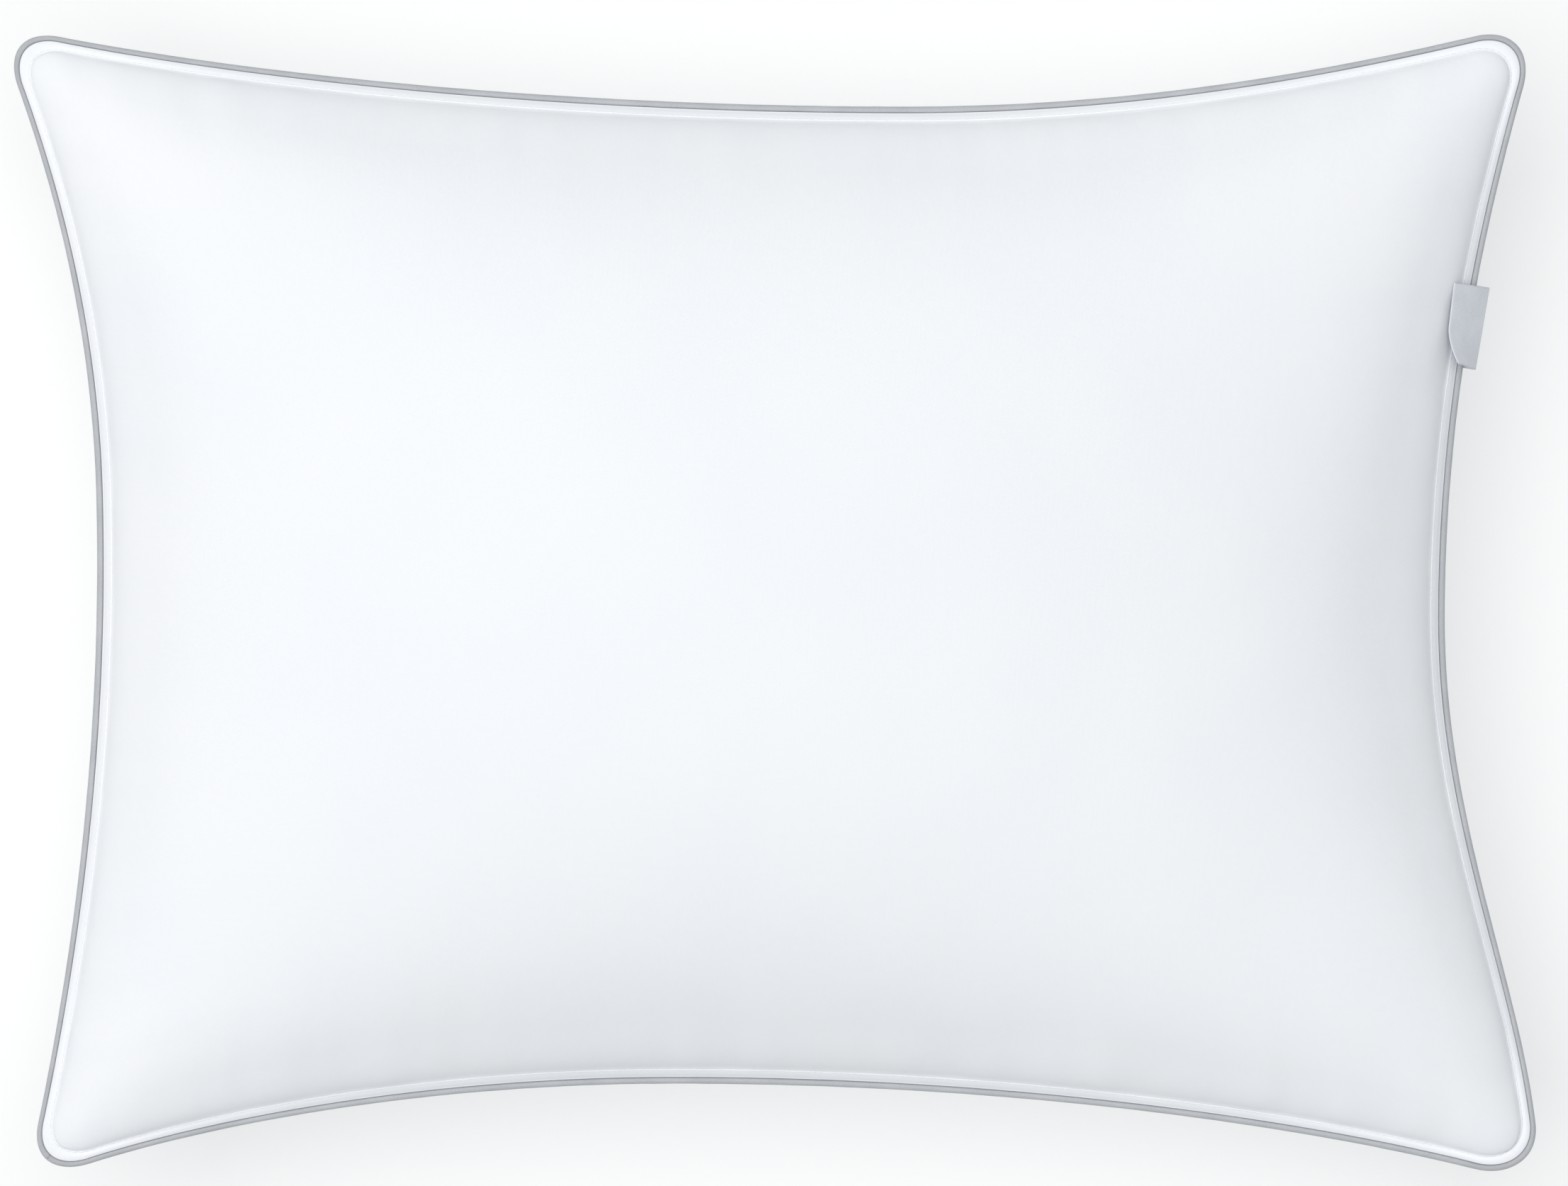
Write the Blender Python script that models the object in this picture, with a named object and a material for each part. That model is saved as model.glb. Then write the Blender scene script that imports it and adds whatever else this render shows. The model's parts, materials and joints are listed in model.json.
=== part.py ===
"""Bed pillow: two fabric panels sewn round a fibre filling, with a corded piping and a narrow topstitched
flange in the seam, and a folded satin label that hinges where it leaves the seam.

Metres, +Z up, +X along the pillow. The pillow lies on its back: the flat of its underside is at z = 0,
and the origin is under the middle of its bounding box.

The seam is drawn once, as a rounded rectangle that is pulled in along each side. A place in the seam is
(d, z): d runs inwards from the outermost line of the piping, z up from the middle of the seam.
"""

import bpy
import bmesh
import math
import numpy as np
from mathutils import Vector

# Overall size of the filled pillow
LENGTH = 0.6429            # of the rectangle that the seam is bent from, along X
WIDTH = 0.4900             # the same, along Y
LOFT = 0.195               # height of the crown above the floor
SEAM_HEIGHT = 0.090        # of the seam above the floor, halfway along a side
CORNER_DROP = 0.012        # how much lower the seam is at the corners
CORNER_RADIUS = 0.028      # of the seam's corners, before the sides are pulled in
FLATTENING = 0.022         # how far the underside would reach below the floor if it weren't pressed flat
FULLNESS = 0.52            # exponent of the dome: 0.5 is an ellipse, 1 a parabola

# How the filling pulls each side in: depth, where along the side it is deepest (-1 to 1), and the
# exponents of the curve before and after that place. Each side is read anticlockwise, seen from above.
PULL_BOTTOM = (0.0447, -0.14, 0.86, 0.86)
PULL_RIGHT = (0.0409, -0.02, 2.0, 1.05)
PULL_TOP = (0.0364, -0.18, 1.07, 0.86)
PULL_LEFT = (0.0388, -0.19, 1.0, 1.0)
LEAN_LEFT = -0.0065        # shift of a side's upper end along X, and the opposite of its lower end's
LEAN_RIGHT = 0.0005

# Fabric and thread
PLY = 0.0003               # thickness of the cover's fabric and of the piping's
SATIN = 0.0003             # thickness of the label's two pressed plies
GAP = 0.0003               # clearance between separate pieces
FOLD_GAP = 0.00015         # inside the folded edge of a panel
THREAD_RADIUS = 0.00016

# Seam
CORD_RADIUS = 0.00065      # of the piping's cord
ALLOWANCE = 0.0096         # from the folded edge of a panel to its raw edge
FLANGE = 0.0032            # from the folded edge of a panel to the topstitching's far side
STITCH_INSET = 0.0007      # of the topstitching, inside the flange's inner edge
OVERLOCK_REACH = 0.0026    # how far the overlocking reaches over the raw edges

FILL_SETBACK = 0.0030      # from the flange to the filling, where it opens round the seam's raw edges

# Opening in the seam that the filling went in by, closed by hand
CLOSING_LENGTH = 0.150
CLOSING_INSET = 0.0010     # of its stitches from the folded edge of the lower panel

# Label
LABEL_LENGTH = 0.035       # along the seam
LABEL_Y = 0.1148           # of its middle
LABEL_REACH = 0.0052       # from the piping out to its crease
LABEL_FLAP = 0.0215        # from the crease to the folded end
LABEL_REST_ANGLE = 46.0    # of the flap above the horizontal, leaning on the pillow's side
LABEL_PLY = 0.0002
CREASE_RISE = 0.0008       # of the flap's axis over the sewn-in part, which ends below it
CREASE_GAP = 0.0004        # from the axis to the flap, and to the end of the sewn-in part

# Facets
CORNER_STEPS = 3           # in each half of a corner
LONG_STEPS = 14            # in the straight of a long side
SHORT_STEPS = 12           # in the straight of a short side
EDGE_CROWDING = 0.7        # 0 spreads the steps of a side evenly, 1 crowds them towards its ends
TAPE_STEPS = 6             # round the cord

HALF_LENGTH = LENGTH / 2
HALF_WIDTH = WIDTH / 2
CORE_X = HALF_LENGTH - CORNER_RADIUS
CORE_Y = HALF_WIDTH - CORNER_RADIUS

# Layers of the seam, from its middle: the two ends of the tape, then above them the upper panel's
# allowance and its outer ply, and below them the label, the lower panel's allowance and its outer ply.
TAPE_Z = (GAP + PLY) / 2
UPPER_ALLOWANCE_Z = TAPE_Z + PLY + GAP
UPPER_PLY_Z = UPPER_ALLOWANCE_Z + PLY + FOLD_GAP
LABEL_Z = -(TAPE_Z + PLY / 2 + GAP + SATIN / 2)
LOWER_ALLOWANCE_Z = LABEL_Z - SATIN / 2 - GAP - PLY / 2
LOWER_PLY_Z = LOWER_ALLOWANCE_Z - PLY - FOLD_GAP

TAPE_RADIUS = (CORD_RADIUS + GAP) / math.cos(math.pi / TAPE_STEPS) + PLY / 2    # of its middle surface
PIPING_RADIUS = TAPE_RADIUS + PLY / 2
FOLD_D = 2 * PIPING_RADIUS + 2 * GAP           # of the panels' folded edges
DOME_D = FOLD_D + FLANGE                       # where the panels leave the flange
RAW_D = FOLD_D + ALLOWANCE                     # of the raw edges
BAND = RAW_D + 0.003                           # width of the seam that keeps its shape in the bent sides

WHITE = (0.90, 0.92, 0.94)
GREY = (0.50, 0.51, 0.53)
NATURAL = (0.82, 0.80, 0.75)
THREAD_WHITE = (0.80, 0.82, 0.84)
LABEL_GREY = (0.57, 0.59, 0.64)


def clear_scene():
    for thing in list(bpy.data.objects):
        bpy.data.objects.remove(thing)


def give_material(thing, name, colour, roughness):
    material = bpy.data.materials.get(name) or bpy.data.materials.new(name)
    material.use_nodes = True
    shader = material.node_tree.nodes["Principled BSDF"]
    shader.inputs["Base Color"].default_value = (*colour, 1.0)
    shader.inputs["Roughness"].default_value = roughness
    shader.inputs["Metallic"].default_value = 0.0
    thing.data.materials.append(material)


def mesh_object(name, points, faces, origin=Vector((0.0, 0.0, 0.0))):
    """A mesh object from world points, with its own origin and its faces pointing out."""
    shape = bmesh.new()
    corners = [shape.verts.new(Vector(point) - origin) for point in points]
    for face in faces:
        shape.faces.new([corners[index] for index in face])
    bmesh.ops.recalc_face_normals(shape, faces=shape.faces)
    mesh = bpy.data.meshes.new(name)
    shape.to_mesh(mesh)
    shape.free()
    mesh.shade_smooth()
    mesh.set_sharp_from_angle(angle=math.radians(50))
    thing = bpy.data.objects.new(name, mesh)
    thing.location = origin
    bpy.context.scene.collection.objects.link(thing)
    return thing


# ---- the seam's course ----

def side_steps(core, steps):
    """Along one side, from the middle of one corner to the middle of the next: the place on the straight
    that each point is squared from, and the angle of its outward direction."""
    corner_angles = np.radians(np.linspace(0, 45, CORNER_STEPS + 1)[1:])
    even = np.linspace(-1, 1, steps + 1)
    straight = core * (EDGE_CROWDING * np.sin(even * math.pi / 2) + (1 - EDGE_CROWDING) * even)
    along = np.concatenate([np.full(CORNER_STEPS, -core), straight, np.full(CORNER_STEPS, core)])
    angles = np.concatenate([-corner_angles[::-1], np.zeros(steps + 1), corner_angles])
    return along, angles


def seam_course():
    """Every point of the seam, anticlockwise from the lower left corner: its place on the rectangle
    inside the corners, and its outward direction. A side's last point is the next side's first."""
    places, outwards = [], []
    for turn in range(4):
        core, across, steps = [(CORE_X, CORE_Y, LONG_STEPS), (CORE_Y, CORE_X, SHORT_STEPS)][turn % 2]
        along, angles = side_steps(core, steps)
        place = np.stack([along, np.full(len(along), -across)], axis=1)
        outward = np.stack([np.sin(angles), -np.cos(angles)], axis=1)
        quarter = np.array([[0, 1], [-1, 0]])
        spin = np.linalg.matrix_power(quarter, turn)
        places.append((place @ spin)[:-1])
        outwards.append((outward @ spin)[:-1])
    return np.concatenate(places), np.concatenate(outwards)


PLACES, OUTWARDS = seam_course()
LONG_CELLS = LONG_STEPS + 2 * CORNER_STEPS
SHORT_CELLS = SHORT_STEPS + 2 * CORNER_STEPS


def flat_ring(d):
    """The seam's course at depth d, before its sides are pulled in."""
    return PLACES + OUTWARDS * (CORNER_RADIUS - d)


def pull(side, t):
    """How far a side is pulled in at t, from -1 to 1 along it."""
    depth, deepest, before, after = side
    reach = np.where(t < deepest, 1 + deepest, 1 - deepest)
    share = np.clip(1 - ((t - deepest) / reach) ** 2, 0, 1)
    return depth * share ** np.where(t < deepest, before, after)


def hold(distance, half):
    """1 in the seam, falling smoothly to 0 in the pillow's middle."""
    share = np.clip(np.abs(distance) / (half - BAND), 0, 1)
    return share * share * (3 - 2 * share)


def bent(flat):
    """Flat points moved to where the filling pulls them."""
    x, y = flat[..., 0], flat[..., 1]
    u, v = x / HALF_LENGTH, y / HALF_WIDTH
    pull_x = np.where(x > 0, -pull(PULL_RIGHT, v), pull(PULL_LEFT, -v))
    pull_y = np.where(y > 0, -pull(PULL_TOP, -u), pull(PULL_BOTTOM, u))
    lean = v * (LEAN_LEFT * (1 - u) + LEAN_RIGHT * (1 + u)) / 2
    return np.stack([x + pull_x * hold(x, HALF_LENGTH) + lean, y + pull_y * hold(y, HALF_WIDTH)], axis=-1)


def middle_of_outline():
    outline = bent(flat_ring(0.0))
    return (outline.min(axis=0) + outline.max(axis=0)) / 2


MIDDLE = middle_of_outline()


def seam_level(flat):
    """Height of the seam's middle over the floor."""
    u, v = flat[..., 0] / HALF_LENGTH, flat[..., 1] / HALF_WIDTH
    return SEAM_HEIGHT - CORNER_DROP * np.abs(u * v) ** 3


def raised(flat, height):
    """Flat points bent and centred, at this height over the seam's own level."""
    place = bent(flat) - MIDDLE
    return np.concatenate([place, (seam_level(flat) + height)[..., None]], axis=-1)


def ring(d, z):
    return raised(flat_ring(d), np.full(len(PLACES), z))


def seam_points(steps, d, z):
    """Points at (d, z), at these steps along the seam. A step may lie between two points of the course."""
    whole = ring(d, z)
    low = np.floor(steps).astype(int)
    share = (steps - low)[:, None]
    return whole[low % len(whole)] * (1 - share) + whole[(low + 1) % len(whole)] * share


def steps_between(start, first_y, last_y):
    """Steps along a short side, whose first step is given, from one y to another: its two ends, and the
    seam's own points between them."""
    side = np.arange(start, start + SHORT_CELLS + 1)
    course = ring(0.0, 0.0)[side % len(PLACES), 1]
    up = 1 if course[-1] > course[0] else -1
    first, last = np.interp([first_y, last_y], course[::up], side[::up])
    return np.array([first, *range(math.ceil(first), math.floor(last) + 1), last])


# ---- shapes ----

def ribbon_outline(path, thickness):
    """The closed outline of a ribbon of this thickness that follows a path of (d, z) points."""
    path = np.array(path)
    runs = np.diff(path, axis=0)
    normals = np.stack([-runs[:, 1], runs[:, 0]], axis=1) / np.linalg.norm(runs, axis=1)[:, None]
    before = np.concatenate([normals[:1], normals])
    after = np.concatenate([normals, normals[-1:]])
    mitre = (before + after) / (1 + (before * after).sum(axis=1))[:, None]
    half = thickness / 2
    return np.concatenate([path + mitre * half, (path - mitre * half)[::-1]])


def joined_rings(rows, closed):
    """Points and faces of a skin over rows of equal length, each a loop. A closed skin joins its last row
    to its first; an open one is capped."""
    count = len(rows[0])
    points = np.concatenate(rows)
    faces = []
    for row in range(len(rows) if closed else len(rows) - 1):
        here, there = row * count, (row + 1) % len(rows) * count
        for k in range(count):
            after = (k + 1) % count
            faces.append((here + k, here + after, there + after, there + k))
    if not closed:
        faces.append(tuple(range(count)))
        faces.append(tuple(range((len(rows) - 1) * count, len(rows) * count)))
    return points, faces


def swept_ring(name, outline):
    """An outline of (d, z) points swept once round the seam."""
    rows = [ring(d, z) for d, z in outline]
    return mesh_object(name, *joined_rings(rows, closed=True))


def tube(name, points, radius, resolution, cyclic):
    """A round cord or thread through these points."""
    curve = bpy.data.curves.new(name, "CURVE")
    curve.dimensions = "3D"
    curve.bevel_depth = radius
    curve.bevel_resolution = resolution
    curve.use_fill_caps = not cyclic
    course = curve.splines.new("POLY")
    course.points.add(len(points) - 1)
    for place, point in zip(course.points, points):
        place.co = (*point, 1.0)
    course.use_cyclic_u = cyclic
    thing = bpy.data.objects.new(name, curve)
    bpy.context.scene.collection.objects.link(thing)
    return thing


def grid_corner_indices():
    """The place in the seam's course of each point on the edge of a panel's grid."""
    bottom = np.arange(0, LONG_CELLS + 1)
    right = np.arange(LONG_CELLS, LONG_CELLS + SHORT_CELLS + 1)
    top = np.arange(LONG_CELLS + SHORT_CELLS, 2 * LONG_CELLS + SHORT_CELLS + 1)[::-1]
    left = np.arange(2 * LONG_CELLS + SHORT_CELLS, len(PLACES) + 1)[::-1] % len(PLACES)
    return bottom, right, top, left


def flat_grid(edge_d):
    """Flat points inside the seam's course at edge_d, in rows and columns, and how high each stands in a
    dome over them, as a share of its crown's height."""
    bottom, right, top, left = grid_corner_indices()
    edge = flat_ring(edge_d)
    a = edge[bottom][:, 0] / edge[bottom[-1], 0]
    b = edge[right][:, 1] / edge[right[-1], 1]
    s, t = ((1 + a) / 2)[:, None, None], ((1 + b) / 2)[None, :, None]
    ruled_y = (1 - t) * edge[bottom][:, None] + t * edge[top][:, None]
    ruled_x = (1 - s) * edge[left][None] + s * edge[right][None]
    corners = (
        (1 - s) * (1 - t) * edge[bottom[0]]
        + s * (1 - t) * edge[bottom[-1]]
        + (1 - s) * t * edge[top[0]]
        + s * t * edge[top[-1]]
    )
    share = np.clip((1 - a[:, None] ** 2) * (1 - b[None, :] ** 2), 0, 1) ** FULLNESS
    return ruled_y + ruled_x - corners, share


def surface_normals(surface):
    across = np.gradient(surface, axis=0)
    up = np.gradient(surface, axis=1)
    normals = np.cross(across, up)
    return normals / np.linalg.norm(normals, axis=-1, keepdims=True)


def dome(side, edge_d, inset):
    """A domed surface above (side 1) or below (side -1) the seam, inside its course at edge_d, that is
    moved inwards by inset."""
    flat, share = flat_grid(edge_d)
    if side > 0:
        surface = raised(flat, (LOFT - SEAM_HEIGHT) * share)
    else:
        surface = raised(flat, -(SEAM_HEIGHT + FLATTENING) * share)
        surface[..., 2] = np.maximum(surface[..., 2], 0.0)
    return surface - surface_normals(surface) * side * inset


def grid_faces(start):
    rows, columns = LONG_CELLS + 1, SHORT_CELLS + 1
    return [
        (start + i * columns + j, start + (i + 1) * columns + j, start + (i + 1) * columns + j + 1,
         start + i * columns + j + 1)
        for i in range(rows - 1)
        for j in range(columns - 1)
    ]


def grid_edge():
    """Index within a grid of each point on its edge, in the order of the seam's course."""
    columns = SHORT_CELLS + 1
    bottom = [i * columns for i in range(LONG_CELLS)]
    right = [LONG_CELLS * columns + j for j in range(SHORT_CELLS)]
    top = [i * columns + SHORT_CELLS for i in range(LONG_CELLS, 0, -1)]
    left = [j for j in range(SHORT_CELLS, 0, -1)]
    return bottom + right + top + left


def domed_solid(name, first, last, rings):
    """A solid between two domed grids: the first grid's edge is set to the first ring, the last grid's to
    the last ring, and the rings between are bridged in turn."""
    edge = grid_edge()
    grids = [first.reshape(-1, 3).copy(), last.reshape(-1, 3).copy()]
    grids[0][edge] = rings[0]
    grids[1][edge] = rings[-1]
    size, count = len(grids[0]), len(edge)
    points = np.concatenate([*grids, *rings[1:-1]])
    loops = [np.array(edge)]
    loops += [np.arange(count) + 2 * size + k * count for k in range(len(rings) - 2)]
    loops.append(np.array(edge) + size)
    faces = grid_faces(0) + grid_faces(size)
    for here, there in zip(loops, loops[1:]):
        for k in range(count):
            after = (k + 1) % count
            faces.append((here[k], here[after], there[after], there[k]))
    return mesh_object(name, points, faces)


# ---- the pieces ----

def make_panel(name, side, ply_z, allowance_z):
    """A panel of the cover: its dome, its flange, its folded edge and its turned-in allowance."""
    out = side * PLY / 2
    nose = FOLD_D + PLY
    rings = [
        ring(DOME_D, ply_z + out),
        ring(nose, ply_z + out),
        ring(FOLD_D, (ply_z + allowance_z) / 2),
        ring(nose, allowance_z - out),
        ring(RAW_D, allowance_z - out),
        ring(RAW_D, allowance_z + out),
        ring(nose, allowance_z + out),
        ring(nose, ply_z - out),
        ring(DOME_D + PLY, ply_z - out),
    ]
    panel = domed_solid(name, dome(side, DOME_D, 0.0), dome(side, DOME_D, PLY), rings)
    give_material(panel, "white percale", WHITE, 0.85)


def make_fill():
    """The filling. It follows the cover, and closes round the turned-in edges of the seam."""
    inset = PLY + 2 * GAP
    edge_d = DOME_D + FILL_SETBACK
    groove_d = RAW_D + PLY + 3 * GAP
    upper = UPPER_ALLOWANCE_Z + PLY / 2 + 2 * GAP + 2 * THREAD_RADIUS + GAP / 2
    lower = LOWER_ALLOWANCE_Z - PLY / 2 - 2 * GAP - 2 * THREAD_RADIUS - GAP / 2
    rings = [ring(edge_d, upper), ring(groove_d, upper), ring(groove_d, lower), ring(edge_d, lower)]
    above, below = dome(1, edge_d, inset), dome(-1, edge_d, inset)
    level = seam_level(flat_grid(edge_d)[0])
    above[..., 2] = np.maximum(above[..., 2], level + upper)
    below[..., 2] = np.minimum(below[..., 2], level + lower)
    fill = domed_solid("fibre_fill", above, below, rings)
    give_material(fill, "polyester fibre", WHITE, 0.95)


def make_piping():
    """A cord, and the tape that is folded round it. The tape's two ends run into the seam."""
    centre_d = PIPING_RADIUS
    cord = tube("piping_cord", ring(centre_d, 0.0), CORD_RADIUS, 1, cyclic=True)
    give_material(cord, "cotton cord", NATURAL, 0.9)
    start = math.asin(TAPE_Z / TAPE_RADIUS)
    turns = np.linspace(start, 2 * math.pi - start, TAPE_STEPS + 1)
    path = [(RAW_D, TAPE_Z)]
    path += [(centre_d + TAPE_RADIUS * math.cos(t), TAPE_RADIUS * math.sin(t)) for t in turns]
    path.append((RAW_D, -TAPE_Z))
    tape = swept_ring("piping_tape", ribbon_outline(path, PLY))
    give_material(tape, "grey piping fabric", GREY, 0.8)


def make_threads():
    """The seam's stitching beside the piping, the topstitching's two threads, and the overlocking."""
    groove_d = (2 * PIPING_RADIUS + FOLD_D) / 2 - GAP / 3
    groove_z = UPPER_ALLOWANCE_Z + THREAD_RADIUS / 2
    stitch_d = DOME_D - STITCH_INSET
    over = PLY / 2 + GAP + THREAD_RADIUS
    for name, d, z in (
        ("seam_thread", groove_d, groove_z),
        ("topstitch_needle_thread", stitch_d, UPPER_PLY_Z + over),
        ("topstitch_bobbin_thread", stitch_d, LOWER_PLY_Z - over),
    ):
        thread = tube(name, ring(d, z), THREAD_RADIUS, 0, cyclic=True)
        give_material(thread, "white thread", THREAD_WHITE, 0.6)
    reach_d = RAW_D - OVERLOCK_REACH
    end_d = RAW_D + GAP + THREAD_RADIUS
    path = [
        (reach_d, UPPER_ALLOWANCE_Z + over),
        (end_d, UPPER_ALLOWANCE_Z + over),
        (end_d, LOWER_ALLOWANCE_Z - over),
        (reach_d, LOWER_ALLOWANCE_Z - over),
    ]
    overlock = swept_ring("overlock_thread", ribbon_outline(path, 2 * THREAD_RADIUS))
    give_material(overlock, "white thread", THREAD_WHITE, 0.6)


def make_closing_stitch():
    """The stitches that close the filling's way in, under the flange of the left side."""
    half = CLOSING_LENGTH / 2
    steps = steps_between(2 * LONG_CELLS + SHORT_CELLS, half, -half)
    z = LOWER_PLY_Z - PLY / 2 - GAP - THREAD_RADIUS
    course = seam_points(steps, FOLD_D + CLOSING_INSET, z)
    thread = tube("closing_stitch", course, THREAD_RADIUS, 0, cyclic=False)
    give_material(thread, "white thread", THREAD_WHITE, 0.6)


def label_steps():
    """Steps along the seam of the label's two ends and of the seam's own points between them."""
    near = math.floor(steps_between(LONG_CELLS, LABEL_Y, LABEL_Y)[0])
    run = ring(0.0, 0.0)[near + 1] - ring(0.0, 0.0)[near]
    rise = LABEL_LENGTH / 2 * run[1] / np.linalg.norm(run)
    return steps_between(LONG_CELLS, LABEL_Y - rise, LABEL_Y + rise)


def make_label():
    """A satin ribbon folded end to end. Its ends are sewn in under the piping; from the crease its loop is
    turned back over the piping, and leans on the pillow's side."""
    under_z = -(PIPING_RADIUS + GAP + SATIN / 2)
    crease_z = under_z + CREASE_RISE
    throat_d = FOLD_D - GAP
    path = [
        (RAW_D, LABEL_Z),
        (throat_d, LABEL_Z),
        (throat_d - 0.0009, under_z),
        (-LABEL_REACH + CREASE_GAP, under_z),
    ]
    steps = label_steps()
    outline = ribbon_outline(path, SATIN)
    columns = [np.array([seam_points(steps[k:k + 1], d, z)[0] for d, z in outline]) for k in range(len(steps))]
    root = mesh_object("label_root", *joined_rings(columns, closed=False))
    give_material(root, "label satin", LABEL_GREY, 0.45)

    ends = seam_points(steps[[0, -1]], -LABEL_REACH, crease_z)
    along = Vector(ends[1] - ends[0]).normalized()
    outward = along.cross(Vector((0.0, 0.0, 1.0))).normalized()
    up = outward.cross(along)
    crease = Vector((ends[0] + ends[1]) / 2)
    angle = math.radians(LABEL_REST_ANGLE)
    up_flap = up * math.sin(angle) - outward * math.cos(angle)
    off_flap = along.cross(up_flap)
    spread = (LABEL_PLY + GAP) / 2
    loop = [(CREASE_GAP, spread), (LABEL_FLAP - spread, spread), (LABEL_FLAP, 0.0),
            (LABEL_FLAP - spread, -spread), (CREASE_GAP, -spread)]
    profile = ribbon_outline(loop, LABEL_PLY)
    columns = [
        np.array([crease + along * half + up_flap * h + off_flap * w for h, w in profile])
        for half in (-LABEL_LENGTH / 2, LABEL_LENGTH / 2)
    ]
    flap = mesh_object("label_flap", *joined_rings(columns, closed=False), origin=crease)
    give_material(flap, "label satin", LABEL_GREY, 0.45)


clear_scene()
make_panel("top_panel", 1, UPPER_PLY_Z, UPPER_ALLOWANCE_Z)
make_panel("bottom_panel", -1, LOWER_PLY_Z, LOWER_ALLOWANCE_Z)
make_fill()
make_piping()
make_threads()
make_closing_stitch()
make_label()
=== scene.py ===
"""The looks of the bed pillow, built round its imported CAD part, in metres and in the CAD's own frame.

Every CAD node is replaced by a detailed piece: a cover that a cloth simulation fills out, a piping with a
twisted cord in it, stitches and overlocking of real thread, an uneven filling, and one folded satin label.

The seam is drawn once, as a rounded rectangle that is pulled in along each side. A place in the seam is
(d, z): d runs inwards from the outermost line of the piping, z up from the middle of the seam.
"""

import json
import math
from collections import namedtuple

import bmesh
import bpy
import numpy as np
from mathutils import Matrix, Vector, noise


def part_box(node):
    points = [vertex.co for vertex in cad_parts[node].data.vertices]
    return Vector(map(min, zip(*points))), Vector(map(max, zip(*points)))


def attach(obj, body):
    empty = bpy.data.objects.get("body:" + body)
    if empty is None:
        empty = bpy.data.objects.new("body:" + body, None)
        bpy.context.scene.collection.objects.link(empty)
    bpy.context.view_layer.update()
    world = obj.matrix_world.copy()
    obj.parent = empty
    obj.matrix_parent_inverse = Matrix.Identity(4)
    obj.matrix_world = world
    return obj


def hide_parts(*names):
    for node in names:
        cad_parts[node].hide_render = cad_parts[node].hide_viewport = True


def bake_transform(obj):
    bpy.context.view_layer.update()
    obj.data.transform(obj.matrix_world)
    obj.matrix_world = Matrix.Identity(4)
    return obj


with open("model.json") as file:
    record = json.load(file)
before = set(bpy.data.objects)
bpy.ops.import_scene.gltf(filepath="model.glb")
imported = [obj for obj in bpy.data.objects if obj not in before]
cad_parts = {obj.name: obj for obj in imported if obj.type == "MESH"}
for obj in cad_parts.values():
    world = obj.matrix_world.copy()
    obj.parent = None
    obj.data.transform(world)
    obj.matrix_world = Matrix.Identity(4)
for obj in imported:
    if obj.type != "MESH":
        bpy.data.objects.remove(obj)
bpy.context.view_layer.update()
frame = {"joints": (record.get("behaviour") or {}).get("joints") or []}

# ---- driving dimensions, the same as the CAD's ----

LENGTH = 0.6429
WIDTH = 0.4900
LOFT = 0.195
SEAM_HEIGHT = 0.090
CORNER_DROP = 0.012
CORNER_RADIUS = 0.028
FLATTENING = 0.022
FULLNESS = 0.52
PULL_BOTTOM = (0.0447, -0.14, 0.86, 0.86)
PULL_RIGHT = (0.0409, -0.02, 2.0, 1.05)
PULL_TOP = (0.0364, -0.18, 1.07, 0.86)
PULL_LEFT = (0.0388, -0.19, 1.0, 1.0)
LEAN_LEFT = -0.0065
LEAN_RIGHT = 0.0005
EDGE_CROWDING = 0.7

PLY = 0.0003
GAP = 0.0003
FOLD_GAP = 0.00015
THREAD_RADIUS = 0.00016
CORD_RADIUS = 0.00065
ALLOWANCE = 0.0096
FLANGE = 0.0032
STITCH_INSET = 0.0007
OVERLOCK_REACH = 0.0026
CLOSING_LENGTH = 0.150
CLOSING_INSET = 0.0010
LABEL_LENGTH = 0.035
LABEL_REACH = 0.0052
LABEL_FLAP = 0.0215
SATIN = 0.0003
CREASE_RISE = 0.0008

HALF_LENGTH = LENGTH / 2
HALF_WIDTH = WIDTH / 2
CORE_X = HALF_LENGTH - CORNER_RADIUS
CORE_Y = HALF_WIDTH - CORNER_RADIUS
TAPE_Z = (GAP + PLY) / 2
UPPER_ALLOWANCE_Z = TAPE_Z + PLY + GAP
UPPER_PLY_Z = UPPER_ALLOWANCE_Z + PLY + FOLD_GAP
LABEL_Z = -(TAPE_Z + PLY / 2 + GAP + SATIN / 2)
LOWER_ALLOWANCE_Z = LABEL_Z - SATIN / 2 - GAP - PLY / 2
LOWER_PLY_Z = LOWER_ALLOWANCE_Z - PLY - FOLD_GAP
TAPE_RADIUS = (CORD_RADIUS + GAP) / math.cos(math.pi / 6) + PLY / 2
PIPING_RADIUS = TAPE_RADIUS + PLY / 2
FOLD_D = 2 * PIPING_RADIUS + 2 * GAP
DOME_D = FOLD_D + FLANGE
RAW_D = FOLD_D + ALLOWANCE
BAND = RAW_D + 0.003
STITCH_D = DOME_D - STITCH_INSET

# ---- finish of the details ----

FINER = 3                  # steps of the finished cover to one of the simulated one
STITCH_PITCH = 0.0028      # of the topstitching
SEAM_PITCH = 0.0026        # of the hidden seam
OVERLOCK_PITCH = 0.0032
CLOSING_PITCH = 0.0052
CORD_TWIST = 0.0085        # length of one turn of the piping's cord
FLANGE_TILT = 0.0036       # how far the filling lifts the flange's stitched edge above its fold
FLANGE_CORNER = 0.85       # share of that which is lost at the corners
FLANGE_CROWN = 0.0003      # how far the flange puffs up between its fold and its stitching
TUCK = 0.0006              # how far the upper panel's fold is pressed over the piping's shoulder
STITCH_SINK = 0.00022      # how deep the topstitching is drawn into the flange
GATHER = 0.0007            # height of the gathers that the stitching leaves beside the flange
GATHER_SPREAD = 0.024      # how far in they fade
LUMPS = 0.0009             # height of the filling's unevenness in the cover
LABEL_SKEW = 0.10          # how far the label's upper end leans along the seam, to its height
LABEL_ANGLE = 47.0         # of the label's flap over level, at its middle, in degrees
LABEL_TWIST = 3.0          # how much lower the upper end lies, and how much higher the lower one
LABEL_CURL = 22.0          # how strongly the lower end stands up besides
LABEL_CURL_START = 0.15    # where that begins, from the middle to the lower end
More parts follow.
